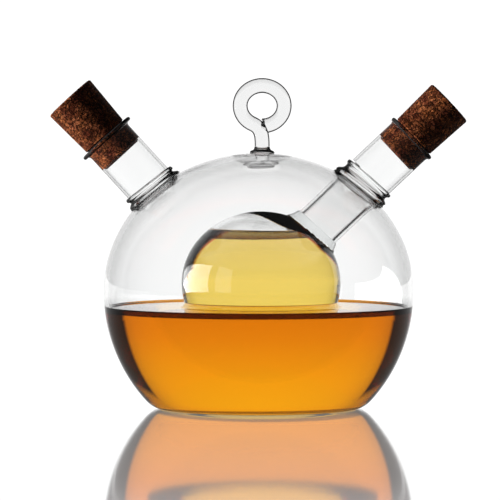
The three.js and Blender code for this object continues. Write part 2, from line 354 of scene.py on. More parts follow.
for vert in {v for f in hollow_faces for v in f.verts}:
    if vert.co.z > EQUATOR_HEIGHT:
        vert.co.x += RIPPLE_OFFSET * ease(RIPPLE_FADE, RIPPLE_REACH, vert.co.xy.length)
for face in hollow_faces:
    middle = face.calc_center_median()
    if middle.z > EQUATOR_HEIGHT and middle.xy.length < RIPPLE_REACH - RIPPLE_OFFSET:
        face.material_index = RIPPLED
globe = settle("globe_glass", globe_form, clear_glass, wetted_glass, rippled_glass)
drill(globe, NECK_BORE, LEFT_FRAME, -CUT_REACH, CUT_REACH)
drill(globe, THROUGH_HOLE, RIGHT_FRAME, -CUT_REACH, CUT_REACH)
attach(globe, "vessel")
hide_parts("outer_globe")

# Left neck: a length of clear tubing fused on the globe's left shoulder and open into it, its
# mouth flared into a flat, fire-polished lip.
NECK_SIDES = 96
LEFT_LENGTH = 27.4
LEFT_LIP = 12.0
LEFT_SEAL_TOP = 3.2
LIP_THICKNESS = 1.5
LIP_START = 0.3
LIP_STEPS = 12
LIP_FLARE_DROP = 1.6
LIP_FLARE_SPREAD = 1.1
LIP_FLARE_STEPS = 6
MOUTH_EDGE = 0.45
MOUTH_STEPS = 5
SEAT_GAP = 0.06
FOOT_LEVEL = 6.0
FOOT_STEPS = 6
FUSED_REACH = 0.05
GLOBE_SEAT = CROWN_FORM + Vector((SEAT_GAP,) * 3)


def lip_outline(length, lip):
    """The flared mouth of a neck, from the tube's outside over the rim to its bore."""
    under = length - LIP_THICKNESS
    round_edge = LIP_THICKNESS / 2
    flare = bend(
        (NECK_RADIUS, under - LIP_FLARE_DROP),
        (NECK_RADIUS, under),
        (NECK_RADIUS + LIP_FLARE_SPREAD, under),
        LIP_FLARE_STEPS,
    )
    rim = arc((lip - round_edge, length - round_edge), (round_edge, round_edge), -90, 90, LIP_STEPS)
    edge_centre = (NECK_BORE + MOUTH_EDGE, length - MOUTH_EDGE)
    return flare + rim + arc(edge_centre, (MOUTH_EDGE, MOUTH_EDGE), 90, 180, MOUTH_STEPS)


def stand_on(form, neck, centre, radii, level):
    """Bends a form's lower end, drawn below level, to the rounded wall that it stands on."""
    outward = (neck.to_3x3() @ UP).normalized()
    for vert in form.verts:
        share = 1 - ease(0, level, vert.co.z)
        if share > 0:
            start = neck @ Vector((vert.co.x, vert.co.y, 0))
            vert.co.z += share * landing(start, outward, centre, radii)


def fuse(form, radius, low, high):
    """Gives the faces round a tube between two heights the finish of glass melted to glass."""
    for face in form.faces:
        level = face.calc_center_median().z
        on_tube = all(abs(vert.co.xy.length - radius) < FUSED_REACH for vert in face.verts)
        if on_tube and low < level < high:
            face.material_index = WETTED


LIP_RIM = 2
# Painted shade where seen edge-on: the tubes darken towards their outlines, and the lip glass, on the lips
# and the handle's foot, goes near black.
TUBE_EDGE = [(0.0, 1.0), (0.6, 1.0), (0.78, 0.4), (1.0, 0.12)]
LIP_EDGE = [(0.0, 1.0), (0.14, 0.9), (0.3, 0.05), (1.0, 0.0)]
tube_glass = glass("tube_glass", GLASS_BEND, TUBE_EDGE)
lip_glass = glass("lip_glass", GLASS_BEND, LIP_EDGE)


def finish_lip(form):
    """Gives the thick rim of a neck's mouth its own finish."""
    for face in form.faces:
        if min(vert.co.xy.length for vert in face.verts) > NECK_RADIUS + LIP_START:
            face.material_index = LIP_RIM


left_neck_form = bmesh.new()
foot_heights = [i * FOOT_LEVEL / FOOT_STEPS for i in range(FOOT_STEPS + 1)]
left_neck_outline = [(NECK_BORE, height) for height in reversed(foot_heights)]
left_neck_outline += [(NECK_RADIUS, height) for height in foot_heights]
left_neck_outline += lip_outline(LEFT_LENGTH, LEFT_LIP)
turn(left_neck_form, left_neck_outline, NECK_SIDES, closed=True)
fuse(left_neck_form, NECK_RADIUS, 0, LEFT_SEAL_TOP)
finish_lip(left_neck_form)
stand_on(left_neck_form, LEFT_FRAME, GLOBE_MIDDLE, GLOBE_SEAT, FOOT_LEVEL)
bmesh.ops.transform(left_neck_form, matrix=LEFT_FRAME, verts=left_neck_form.verts)
left_neck = settle("left_neck_glass", left_neck_form, tube_glass, wetted_glass, lip_glass)
left_neck.visible_shadow = False
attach(left_neck, "vessel")
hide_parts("left_neck")

# Left neck's seal: the ring of glass that melted and ran together where the neck was fused on,
# with a fine groove between its two swollen edges.
LEFT_SEAL_OUTLINE = [
    (9.78, 3.1), (10.5, 3.25), (11.0, 2.8), (11.0, 2.25), (10.35, 1.85), (10.25, 1.5), (10.9, 1.2),
    (11.7, 0.85), (11.9, 0.35), (12.1, 0.0), (9.78, 0.0),
]
LEFT_SEAL_TILT = -0.07
FLOW_STEPS = 4
# Painted shade: the seals' solid glass goes near black where it is seen edge-on.
SOLID_EDGE = [(0.0, 1.0), (0.36, 1.0), (0.5, 0.04), (1.0, 0.0)]
solid_glass = glass("solid_glass", GLASS_BEND, SOLID_EDGE)


def seal_form(outline, neck, top, tilt):
    """A ring of melted glass round a neck, a little higher on one side, standing on the globe."""
    form = bmesh.new()
    turn(form, flowing(outline[:-1], FLOW_STEPS) + outline[-1:], NECK_SIDES, closed=True)
    fuse(form, outline[0][0], 0, top)
    for vert in form.verts:
        vert.co.z += tilt * vert.co.x * vert.co.z / top
    stand_on(form, neck, GLOBE_MIDDLE, GLOBE_SEAT, top)
    bmesh.ops.transform(form, matrix=neck, verts=form.verts)
    return form


left_seal_form = seal_form(LEFT_SEAL_OUTLINE, LEFT_FRAME, LEFT_SEAL_TOP, LEFT_SEAL_TILT)
left_seal = settle("left_neck_seal_glass", left_seal_form, solid_glass, wetted_glass)
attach(left_seal, "vessel")
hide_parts("left_neck_seal")

# Inner bulb: the oil's own vessel, an oblate bubble of clear glass blown on the end of the right
# neck's tube and hung by it in the middle of the globe.
BULB_RADIUS = 30.8
BULB_HALF_HEIGHT = 27.9
BULB_WALL = 1.5
BULB_CENTRE = Vector((1, 0, 48.2))
BULB_SIDES = 128
BULB_STEPS = 72
FEED_BORE = 8.3
TUBE_FOOT = 11.2
TUBE_WAY = RIGHT_FRAME.to_3x3() @ UP
SHOULDER_WALL = 0.8
SHOULDER_SPREAD = (0.3, 0.93)
OIL_BRIM = 68.6
BULB_WET_LINE = 41.0


def bulb_runs(inset, brims):
    """The bulb's outline at some depth in its wall, from its top down, parted at the liquids' brims."""
    radius = BULB_RADIUS - inset
    half_height = BULB_HALF_HEIGHT - inset
    line = arc((0, BULB_CENTRE.z), (radius, half_height), 90, -90, BULB_STEPS)
    runs = [[]]
    for spot in line:
        if len(runs) <= len(brims) and spot[1] < brims[len(runs) - 1]:
            brim = brims[len(runs) - 1]
            edge = (wall_radius(brim, radius, half_height, BULB_CENTRE.z), brim)
            runs[-1].append(edge)
            runs.append([edge])
        runs[-1].append(spot)
    return runs


def thicken_shoulder(verts):
    """Draws a skin inside the bulb's wall inwards where the glass gathers round the tube."""
    for vert in verts:
        out = vert.co - Vector((0, 0, BULB_CENTRE.z))
        share = ease(*SHOULDER_SPREAD, out.normalized().dot(TUBE_WAY))
        vert.co -= out.normalized() * SHOULDER_WALL * share


OIL_BEND = 1.3
# Painted shade on the bulb's outer skin where it is seen edge-on: a black crescent along its top towards
# the tube, and dark brown arcs along its upper sides, a little wider on the left; both lose their shine and
# turn opaque.
FRONT_PLANE = (1, 0, 1)
CRESCENT_SHADE_WAY = (0.418, 0, 0.908)
CRESCENT_SHADE_REACH = (0.74, 1.0)
CRESCENT_SHADE_SLANT = (1.0, 0.47)
CRESCENT_SHADE_BLUR = 0.015
WEDGE_SHADE_WAY = (-0.149, 0, 1)
WEDGE_SHADE_REACH = (0.046, 0.058)
WEDGE_SHADE_SLANT = (0.95, 0.5)
WEDGE_SHADE_BLUR = 0.08
WEDGE_SHADE_TOP = (0.069, 0.0694)
WEDGE_SHADE_DULLNESS = -0.8
OPAQUE_SHOULDER = 0.15
PAINTED_SHADE_BROWNS = [(0.0, (0, 0, 0, 1)), (0.4, (0.2, 0.07, 0.01, 1)), (0.85, (0.8, 0.5, 0.15, 1)), (1.0, WHITE)]
oiled_glass = glass("oiled_glass", GLASS_BEND / OIL_BEND, NO_EDGE)
shade_painted_bulb_glass = glass("shade_painted_bulb_glass", GLASS_BEND, SHELL_EDGE)
tree = shade_painted_bulb_glass.node_tree
shader = tree.nodes["Principled BSDF"]
place = node(tree, "TexCoord", {}).outputs["Object"]
facing = node(tree, "LayerWeight", {}).outputs["Facing"]
far_side = node(tree, "NewGeometry", {}).outputs["Backfacing"]
from_middle = reckon_way(tree, "SUBTRACT", place, BULB_CENTRE * MILLIMETRE)
way_out = reckon_way(tree, "NORMALIZE", reckon_way(tree, "MULTIPLY", from_middle, FRONT_PLANE))
to_tube = reckon_way(tree, "DOT_PRODUCT", way_out, CRESCENT_SHADE_WAY)
crescent_shade_from = spread(tree, to_tube, *CRESCENT_SHADE_REACH, *CRESCENT_SHADE_SLANT)
not_black = spread(tree, reckon(tree, "SUBTRACT", facing, crescent_shade_from), 0.0, CRESCENT_SHADE_BLUR, 1.0, 0.0)
up_and_left = reckon_way(tree, "DOT_PRODUCT", place, WEDGE_SHADE_WAY)
wedge_shade_from = spread(tree, up_and_left, *WEDGE_SHADE_REACH, *WEDGE_SHADE_SLANT)
wedge_shade_slant = spread(tree, reckon(tree, "SUBTRACT", facing, wedge_shade_from), 0.0, WEDGE_SHADE_BLUR)
height = node(tree, "SeparateXYZ", {"Vector": place}).outputs["Z"]
painted_wedge_shade = reckon(tree, "MULTIPLY", wedge_shade_slant, spread(tree, height, *WEDGE_SHADE_TOP, 1.0, 0.0))
light_left = reckon(tree, "SUBTRACT", not_black, painted_wedge_shade, clamp=True)
near_only = reckon(tree, "MAXIMUM", light_left, far_side)
plain_colour = shader.inputs["Base Color"].links[0].from_socket
shade_painted_colour = overlay(tree, plain_colour, ramp(tree, near_only, PAINTED_SHADE_BROWNS))
tree.links.new(shade_painted_colour, shader.inputs["Base Color"])
outside_crescent_shade = reckon(tree, "MAXIMUM", not_black, far_side)
dull = reckon(tree, "MULTIPLY_ADD", painted_wedge_shade, WEDGE_SHADE_DULLNESS, outside_crescent_shade, clamp=True)
tree.links.new(reckon(tree, "MULTIPLY", dull, FULL_SHINE), shader.inputs["Specular IOR Level"])
tree.links.new(spread(tree, near_only, 0.0, OPAQUE_SHOULDER), shader.inputs["Transmission Weight"])
DRY_INSIDE = 3
bulb_form = bmesh.new()
turn_runs(bulb_form, bulb_runs(0, [BULB_WET_LINE]), BULB_SIDES)
dry_bulb, oiled_bulb, sunk_bulb = bulb_runs(BULB_WALL, [OIL_BRIM, BULB_WET_LINE])
bulb_hollow = turn_runs(bulb_form, [dry_bulb, sunk_bulb, oiled_bulb], BULB_SIDES)
bmesh.ops.reverse_faces(bulb_form, faces=bulb_hollow)
for face in bulb_hollow:
    if face.material_index == 0:
        face.material_index = DRY_INSIDE
thicken_shoulder({v for f in bulb_hollow for v in f.verts})
bmesh.ops.translate(bulb_form, vec=(BULB_CENTRE.x, 0, 0), verts=bulb_form.verts)
bulb = settle("inner_bulb_glass", bulb_form, shade_painted_bulb_glass, wetted_glass, oiled_glass, clear_glass)
to_neck = RIGHT_FRAME.inverted()
bulb_in_neck = to_neck @ BULB_CENTRE
drill(bulb, FEED_BORE, RIGHT_FRAME, bulb_in_neck.z, -CUT_REACH)
for face in bulb.data.polygons:
    middle = to_neck @ (face.center / MILLIMETRE)
    if middle.z > bulb_in_neck.z and middle.xy.length < TUBE_FOOT:
        face.material_index = WETTED
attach(bulb, "vessel")
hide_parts("inner_bulb")

# Right neck: one clear tube from its small lip through the globe's wall down to the bulb, drawn
# slimmer inside the globe and spread again where it joins the bulb.
RIGHT_LENGTH = 27.9
RIGHT_LIP = 10.8
RIGHT_SEAL_TOP = 5.2
FEED_RADIUS = 9.2
FEED_SKIN = 0.3
WAIST = -5.8
FEED_TAPER = 4.0
TAPER_STEPS = 6
FEED_FLARE = 0.9
FEED_FLARE_RISE = 4.0
FEED_FLARE_STEPS = 8
BULB_SEAL_RISE = 2.6
BULB_FORM = Vector((BULB_RADIUS, BULB_RADIUS, BULB_HALF_HEIGHT)) + Vector((SEAT_GAP,) * 3)
bulb_entry = landing(RIGHT_FRAME.translation, TUBE_WAY, BULB_CENTRE, BULB_FORM)


def feed_wall(slim, wide):
    """One side of the tube's wall, from its spread foot on the bulb to its full width."""
    wall = []
    for i in range(FEED_FLARE_STEPS + 1):
        flare = FEED_FLARE * (1 - i / FEED_FLARE_STEPS) ** 2
        wall.append((slim + flare, bulb_entry + FEED_FLARE_RISE * i / FEED_FLARE_STEPS))
    for i in range(TAPER_STEPS + 1):
        share = ease(0, 1, i / TAPER_STEPS)
        wall.append((slim + (wide - slim) * share, WAIST + FEED_TAPER * i / TAPER_STEPS))
    return wall


def seat_on_bulb(form, foot):
    """Carries a form, drawn with its foot at the given height, down to the bulb's rounded wall."""
    for vert in form.verts:
        share = 1 - ease(foot, foot + FOOT_LEVEL, vert.co.z)
        start = RIGHT_FRAME @ Vector((vert.co.x, vert.co.y, 0))
        reach = landing(start, TUBE_WAY, BULB_CENTRE, BULB_FORM)
        vert.co.z += bulb_entry - foot + share * (reach - bulb_entry)


FEED_INSIDE = 3
FUSED_FOOT = 4
# Painted shade where seen edge-on: the fused foot greys a little, and the slim tube's bore goes near black.
FOOT_GREY = [(0.0, 0.93), (1.0, 0.85)]
FEED_EDGE = [(0.0, 1.0), (0.44, 1.0), (0.58, 0.04), (1.0, 0.0)]
feed_bore_glass = glass("feed_bore_glass", GLASS_BEND, FEED_EDGE)
fused_foot_glass = glass("fused_foot_glass", WETTED_BEND, FOOT_GREY)
right_neck_form = bmesh.new()
right_outline = feed_wall(FEED_RADIUS, NECK_RADIUS)
right_outline += [(NECK_RADIUS, height) for height in (-GLOBE_WALL / 2, RIGHT_SEAL_TOP)]
right_outline += lip_outline(RIGHT_LENGTH, RIGHT_LIP)
right_outline += list(reversed(feed_wall(FEED_BORE, NECK_BORE)))
turn(right_neck_form, right_outline, NECK_SIDES, closed=True)
fuse(right_neck_form, NECK_RADIUS, -GLOBE_WALL, RIGHT_SEAL_TOP)
for face in right_neck_form.faces:
    middle = face.calc_center_median()
    if middle.z < bulb_entry + BULB_SEAL_RISE:
        face.material_index = FUSED_FOOT
    elif middle.z < WAIST + FEED_TAPER and middle.xy.length < FEED_RADIUS - FEED_SKIN:
        face.material_index = FEED_INSIDE
finish_lip(right_neck_form)
seat_on_bulb(right_neck_form, bulb_entry)
bmesh.ops.transform(right_neck_form, matrix=RIGHT_FRAME, verts=right_neck_form.verts)
right_finishes = (tube_glass, wetted_glass, lip_glass, feed_bore_glass, fused_foot_glass)
right_neck = settle("right_neck_glass", right_neck_form, *right_finishes)
right_neck.visible_shadow = False
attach(right_neck, "vessel")
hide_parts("right_neck")

# Right neck's seal: a taller ring of melted glass that closes the globe round the tube passing
# through it, swollen at its foot and again at its upper edge.
RIGHT_SEAL_OUTLINE = [
    (9.78, 5.2), (10.4, 5.3), (10.75, 4.9), (10.6, 4.3), (10.0, 3.8), (9.95, 2.9), (10.4, 2.35),
    (11.3, 1.9), (11.7, 1.3), (11.4, 0.7), (11.9, 0.0), (9.78, 0.0),
]
RIGHT_SEAL_TILT = 0.08
right_seal_form = seal_form(RIGHT_SEAL_OUTLINE, RIGHT_FRAME, RIGHT_SEAL_TOP, RIGHT_SEAL_TILT)
right_seal = settle("right_neck_seal_glass", right_seal_form, solid_glass, wetted_glass)
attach(right_seal, "vessel")
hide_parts("right_neck_seal")

# Bulb's seal: the small bead of glass round the tube's foot, where tube and bulb were melted
# together.
MELTED_BEND = 1.03
# Painted shade: the bead darkens where it is seen edge-on.
BEAD_EDGE = [(0.0, 1.0), (0.55, 0.93), (0.8, 0.4), (1.0, 0.12)]
BULB_SEAL_OUTLINE = [
    (9.4, BULB_SEAL_RISE), (9.75, 2.5), (10.1, 1.9), (10.5, 1.2), (11.1, 0.6), (11.7, 0.0), (10.2, 0.0),
]
FACING_DOWN = -0.9
bulb_seal_form = bmesh.new()
bulb_seal_outline = flowing(BULB_SEAL_OUTLINE[:-1], FLOW_STEPS) + BULB_SEAL_OUTLINE[-1:]
turn(bulb_seal_form, bulb_seal_outline, NECK_SIDES, closed=True)
bulb_seal_form.normal_update()
for face in bulb_seal_form.faces:
    middle = face.calc_center_median()
    if face.normal.z < FACING_DOWN or face.normal.dot(Vector((*middle.xy, 0))) < 0:
        face.material_index = WETTED
seat_on_bulb(bulb_seal_form, 0)
bmesh.ops.transform(bulb_seal_form, matrix=RIGHT_FRAME, verts=bulb_seal_form.verts)
melted_glass = glass("melted_glass", MELTED_BEND, BEAD_EDGE)
bulb_seal = settle("bulb_seal_glass", bulb_seal_form, melted_glass, wetted_glass)
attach(bulb_seal, "vessel")
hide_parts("bulb_seal")

# Handle's foot: the small collar of glass that spread on the crown when the handle was fused on.
# It stands a little to the right of the crown's middle.
HANDLE_OFFSET = 1.4
FOOT_RISE = 2.4
FOOT_SIDES = 64
FOOT_OUTLINE = [(4.7, 0.0), (4.75, 0.45), (4.3, 0.85), (3.45, 1.2), (3.1, 1.75), (2.95, 2.4)]
CROWN_HEIGHT = EQUATOR_HEIGHT + CROWN_RISE
foot_form = bmesh.new()
turn(foot_form, [(0, 0)] + flowing(FOOT_OUTLINE, FLOW_STEPS) + [(0, FOOT_RISE)], FOOT_SIDES)
for vert in foot_form.verts:
    vert.co.x += HANDLE_OFFSET
    start = Vector((vert.co.x, vert.co.y, 0))
    rise = landing(start, UP, GLOBE_MIDDLE, GLOBE_SEAT)
    vert.co.z += rise + (CROWN_HEIGHT - rise) * ease(0, FOOT_RISE, vert.co.z)
foot = settle("handle_foot_glass", foot_form, lip_glass)
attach(foot, "vessel")
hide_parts("handle_foot")

# Loop handle: a solid glass rod bent hot into a ring. It rises from the foot, runs up the ring's
# left side and over the top, and its end is pressed against its own stem, where a seam shows.
ROD_RADIUS = 2.9
ROD_ROUNDNESS = 10
ROD_END = -82
ROD_STEPS = 120
STEM_RISE = 5.1
STEM_BEND = 3.8
STEM_JOIN = 245
STEM_STEPS = 24
LOOP_HALF_WIDTH = 8.5
LOOP_HALF_HEIGHT = 7.8
SEAM_GAP = 0.05
SEAM_START = -30
SEAM_END = -93
SEAM_STEP = 0.5
SEAM_REACH = 12
# Painted shade: the rod's glass greys a little face-on and goes near black where it is seen edge-on.
ROD_EDGE = [(0.0, 0.87), (0.25, 0.91), (0.38, 0.96), (0.5, 0.04), (1.0, 0.0)]
loop_height = CROWN_HEIGHT + FOOT_RISE + STEM_RISE + ROD_RADIUS + LOOP_HALF_HEIGHT
ring = arc((HANDLE_OFFSET, loop_height), (LOOP_HALF_WIDTH, LOOP_HALF_HEIGHT), STEM_JOIN, ROD_END, ROD_STEPS)
stem_foot = Vector((HANDLE_OFFSET, CROWN_HEIGHT + FOOT_RISE + SEAM_GAP))
stem_head = Vector(ring[0])
stem_lead = (Vector(ring[1]) - stem_head).normalized()
stem_curve = (stem_foot, stem_foot + Vector((0, STEM_BEND)), stem_head - stem_lead * STEM_BEND, stem_head)
stem = []
for i in range(STEM_STEPS):
    t = i / STEM_STEPS
    shares = ((1 - t) ** 3, 3 * t * (1 - t) ** 2, 3 * t * t * (1 - t), t ** 3)
    stem.append(sum((p * w for p, w in zip(stem_curve, shares)), Vector((0, 0))))
rod_path = [Vector((p[0], 0, p[1])) for p in stem + ring]
rod_line = bpy.data.curves.new("rod_line", "CURVE")
rod_line.dimensions = "3D"
rod_line.bevel_depth = ROD_RADIUS
rod_line.bevel_resolution = ROD_ROUNDNESS
rod_line.use_fill_caps = True
rod_spline = rod_line.splines.new("POLY")
rod_spline.points.add(len(rod_path) - 1)
for point, spot in zip(rod_spline.points, rod_path):
    point.co = (*spot, 1)
rod_curve = bpy.data.objects.new("rod_line", rod_line)
bpy.context.scene.collection.objects.link(rod_curve)
swept_rod = rod_curve.evaluated_get(bpy.context.evaluated_depsgraph_get())
rod_mesh = bpy.data.meshes.new_from_object(swept_rod)
rod_form = bmesh.new()
rod_form.from_mesh(rod_mesh)
bpy.data.objects.remove(rod_curve)
bpy.data.meshes.remove(rod_mesh)
bmesh.ops.remove_doubles(rod_form, verts=rod_form.verts, dist=WELD)
rod_form.verts.ensure_lookup_table()
rod_sides = len(rod_form.verts) // len(rod_path)
stem_line = rod_path[:STEM_STEPS + SEAM_REACH]


def ring_middle(angle):
    """The rod's middle line at an angle round the ring, and the way outwards there."""
    t = math.radians(angle)
    middle = Vector((HANDLE_OFFSET, 0, loop_height))
    middle += Vector((LOOP_HALF_WIDTH * math.cos(t), 0, LOOP_HALF_HEIGHT * math.sin(t)))
    outward = Vector((LOOP_HALF_HEIGHT * math.cos(t), 0, LOOP_HALF_WIDTH * math.sin(t)))
    return middle, outward.normalized()


def on_ring(angle, out, along):
    """A point of the rod at an angle round the ring, some way out from its middle line."""
    middle, outward = ring_middle(angle)
    return middle + outward * out + Vector((0, along, 0))


for n, vert in enumerate(rod_form.verts):
    angle = STEM_JOIN + (ROD_END - STEM_JOIN) * (n // rod_sides - STEM_STEPS) / ROD_STEPS
    if angle < SEAM_START:
        rod_middle, rod_outward = ring_middle(angle)
        out = (vert.co - rod_middle).dot(rod_outward)
        along = vert.co.y
        last = SEAM_END
        while min((on_ring(last, out, along) - p).length for p in stem_line) < ROD_RADIUS + SEAM_GAP:
            last += SEAM_STEP
        share = (angle - SEAM_START) / (ROD_END - SEAM_START)
        vert.co = on_ring(SEAM_START + (last - SEAM_START) * share, out, along)
bmesh.ops.recalc_face_normals(rod_form, faces=rod_form.faces)
handle = settle("loop_handle_glass", rod_form, glass("rod_glass", GLASS_BEND, ROD_EDGE))
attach(handle, "vessel")
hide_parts("loop_handle")

# Vinegar: amber liquid lying in the globe round the bulb. It wets both glass walls, so its level
# surface curls up a little where it meets them.
VINEGAR_LEVEL = 39.0
WETTING = 0.22
WALL_CURL = 1.3
BULB_CURL = 2.6
BRIM_GAP = 0.3
CURL_STEPS = 12
CURL_POWER = 2.6


def curl(wall, level, brim, reach):
    """The curled edge of a liquid's surface, from the wall to the level part."""
    points = []
    for i in range(CURL_STEPS + 1):
        t = i / CURL_STEPS
        points.append((wall + reach * t, level + (brim - level) * (1 - t) ** CURL_POWER))
    return points


CLOUD_SCALE = 45.0
CLOUD_DRIFT = 0.0006


def liquid(name, bend_index, shades):
    """A clear coloured liquid with a trace of cloud in it, its shade changing with height as given."""
    material = bare_finish(name)
    tree = material.node_tree
    shader = tree.nodes["Principled BSDF"]
    shader.inputs["Transmission Weight"].default_value = 1.0
    shader.inputs["Roughness"].default_value = 0.0
    shader.inputs["IOR"].default_value = bend_index
    place = node(tree, "TexCoord", {}).outputs["Object"]
    height = node(tree, "SeparateXYZ", {"Vector": place}).outputs["Z"]
    cloud = node(tree, "TexNoise", {"Vector": place, "Scale": CLOUD_SCALE, "Detail": 3.0}).outputs["Fac"]
    drift = reckon(tree, "MULTIPLY_ADD", cloud, CLOUD_DRIFT, height)
    low = shades[0][0]
    high = shades[-1][0]
    stops = [((level - low) / (high - low), colour) for level, colour in shades]
    tree.links.new(ramp(tree, spread(tree, drift, low, high), stops), shader.inputs["Base Color"])
    return material


VINEGAR_BEND = 1.44
AGAINST_GLASS = 1.0
# Painted light: the amber is paler towards the bottom, lit from the table below, and deeper towards the
# top.
AMBER = [
    (0.002, (0.99, 0.47, 0.006, 1)), (0.0145, (0.95, 0.42, 0.004, 1)), (0.03, (0.84, 0.24, 0.003, 1)),
    (0.0382, (0.76, 0.19, 0.002, 1)),
]
PALE_AMBER = [(0.036, (0.9, 0.65, 0.12, 1)), (0.042, (0.9, 0.6, 0.08, 1))]
# Painted shade: against the bulb the amber turns dark just under the wet line, and on the outer wall, where
# it is seen from outside, a dark ring is painted below the brim, where the surface curls, and a dark line
# along the heel, off the base.
AT_THE_BULB = [(0.038, (0.98, 0.98, 0.98, 1)), (0.0409, WHITE), (0.0411, (0.1, 0.05, 0.02, 1))]
DARK_RING = (0.01, 0.0008, 0.0002, 1)
DARK_RING_FOOT = 37.2
DARK_RING_BLUR = 0.25
HEEL_LINE = 2.75
HEEL_BLUR = 0.2
HEEL_DARKNESS = 0.85
HEEL_REACH = 37.9
amber_surface = liquid("amber_surface", VINEGAR_BEND, PALE_AMBER)
amber_at_the_bulb = liquid("amber_at_the_bulb", AGAINST_GLASS, AT_THE_BULB)
amber_vinegar = liquid("amber_vinegar", AGAINST_GLASS, AMBER)
tree = amber_vinegar.node_tree
shader = tree.nodes["Principled BSDF"]
place = node(tree, "TexCoord", {}).outputs["Object"]
height = node(tree, "SeparateXYZ", {"Vector": place}).outputs["Z"]
# Painted shade: the dark ring below the brim and the dark line along the heel.
ring_top = (DARK_RING_FOOT + DARK_RING_BLUR) * MILLIMETRE
at_brim = spread(tree, height, DARK_RING_FOOT * MILLIMETRE, ring_top)
heel_foot = (HEEL_LINE - HEEL_BLUR) * MILLIMETRE
at_heel = spread(tree, height, heel_foot, HEEL_LINE * MILLIMETRE, HEEL_DARKNESS, 0.0)
off_base = reckon(tree, "GREATER_THAN", reckon_way(tree, "LENGTH", place), HEEL_REACH * MILLIMETRE)
dark_lines = reckon(tree, "MAXIMUM", at_brim, reckon(tree, "MULTIPLY", at_heel, off_base))
far_side = node(tree, "NewGeometry", {}).outputs["Backfacing"]
from_outside = reckon(tree, "SUBTRACT", dark_lines, far_side, clamp=True)
plain_amber = shader.inputs["Base Color"].links[0].from_socket
ringed = node(tree, "Mix", {"Factor": from_outside, "A": plain_amber, "B": DARK_RING}, data_type="RGBA")
tree.links.new(ringed.outputs["Result"], shader.inputs["Base Color"])
vinegar_inset = GLOBE_WALL - WETTING
vinegar_radius = GLOBE_RADIUS - vinegar_inset
outer_wall = wall_radius(VINEGAR_BRIM, vinegar_radius, BOWL_DEPTH - vinegar_inset, EQUATOR_HEIGHT)
vinegar_bowl = globe_outline(vinegar_inset, BASE_THICKNESS - WETTING)
vinegar_side = [p for p in vinegar_bowl if p[1] < VINEGAR_BRIM - BRIM_GAP]
vinegar_dent = bulb_runs(WETTING, [BULB_WET_LINE])[1]
inner_wall = vinegar_dent[0][0]
vinegar_top = curl(outer_wall, VINEGAR_LEVEL, VINEGAR_BRIM, -WALL_CURL)
vinegar_top += list(reversed(curl(inner_wall, VINEGAR_LEVEL, BULB_WET_LINE, BULB_CURL)))
vinegar_form = bmesh.new()
turn_runs(vinegar_form, [vinegar_top, vinegar_side + vinegar_top[:1], vinegar_dent], GLOBE_SIDES)
for vert in vinegar_form.verts:
    vert.co.x += BULB_CENTRE.x * ease(outer_wall - WALL_CURL, inner_wall + BULB_CURL, vert.co.xy.length)
vinegar = settle("vinegar_amber", vinegar_form, amber_surface, amber_vinegar, amber_at_the_bulb)
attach(vinegar, "vessel")
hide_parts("vinegar")

# Oil: golden liquid filling the bulb almost to its top, poured in through the right neck. It wets
# the bulb, so its surface curls up at the glass.
OIL_LEVEL = 66.6
OIL_CURL = 4.6
# Painted shade: the oil's wall turns near black from just under its level up to its brim, a dark band round
# the top of the oil, and its level surface is painted a dark gold.
GOLD = [
    (0.04, (1.0, 0.72, 0.13, 1)), (0.053, (1.0, 0.735, 0.156, 1)), (0.0654, (1.0, 0.74, 0.25, 1)),
    (0.0658, (0.006, 0.001, 0.0001, 1)), (0.0664, (0.06, 0.016, 0.001, 1)), (0.0686, (0.14, 0.1, 0.03, 1)),
]
DARK_GOLD = [(0.0655, (0.35, 0.2, 0.03, 1)), (0.069, (0.25, 0.14, 0.02, 1))]
UNTINTED = [(0.0, (0.98, 0.98, 0.98, 1)), (0.08, WHITE)]
gold_surface = liquid("gold_surface", OIL_BEND, DARK_GOLD)
golden_oil = liquid("golden_oil", AGAINST_GLASS, GOLD)
gold_in_the_amber = liquid("gold_in_the_amber", AGAINST_GLASS, UNTINTED)
oil_above, oil_under = bulb_runs(BULB_WALL - WETTING, [OIL_BRIM, BULB_WET_LINE])[1:]
oil_top = [(0, OIL_LEVEL)] + list(reversed(curl(oil_above[0][0], OIL_LEVEL, OIL_BRIM, -OIL_CURL)))
oil_form = bmesh.new()
turn_runs(oil_form, [oil_top, oil_above, oil_under], BULB_SIDES)
thicken_shoulder(oil_form.verts)
bmesh.ops.translate(oil_form, vec=(BULB_CENTRE.x, 0, 0), verts=oil_form.verts)
oil = settle("oil_golden", oil_form, gold_surface, golden_oil, gold_in_the_amber)
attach(oil, "vessel")
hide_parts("oil")

# Corks: tapered stoppers pressed from dark cork granules and glue, cut to a clean edge. The side is
# pitted between the granules, and each cork is squeezed where the neck grips it.
CORK_IN = 9.7
CORK_CHAMFER = 0.5
CORK_NARROWING = 0.3
CORK_PRESS = 0.02
CORK_SPREAD = 0.35
CORK_GAP = 0.25
CORK_SIDES = 180
CORK_STEPS = (26, 3, 3, 26, 4, 3, 66, 3, 30)
LEFT_CORK_OUT = 20.58
LEFT_CORK_TOP = 10.5
LEFT_CORK_MOUTH = 9.5
RIGHT_CORK_OUT = 19.5
RIGHT_CORK_TOP = 9.9
RIGHT_CORK_MOUTH = 9.3
GRANULE = 1.5
PIT_DEPTH = 0.2
PIT_WIDTH = 0.2
PIT_RISE = 1.0
CRUMB_SCALE = 1.9
CRUMB_RANGE = (-0.25, 0.2)
GRIT_SCALE = 3.1
GRIT_DEPTH = 0.05


def stretch(start, end, steps):
    """Even points on a straight line from start, without its end."""
    return [tuple(a + (b - a) * i / steps for a, b in zip(start, end)) for i in range(steps)]


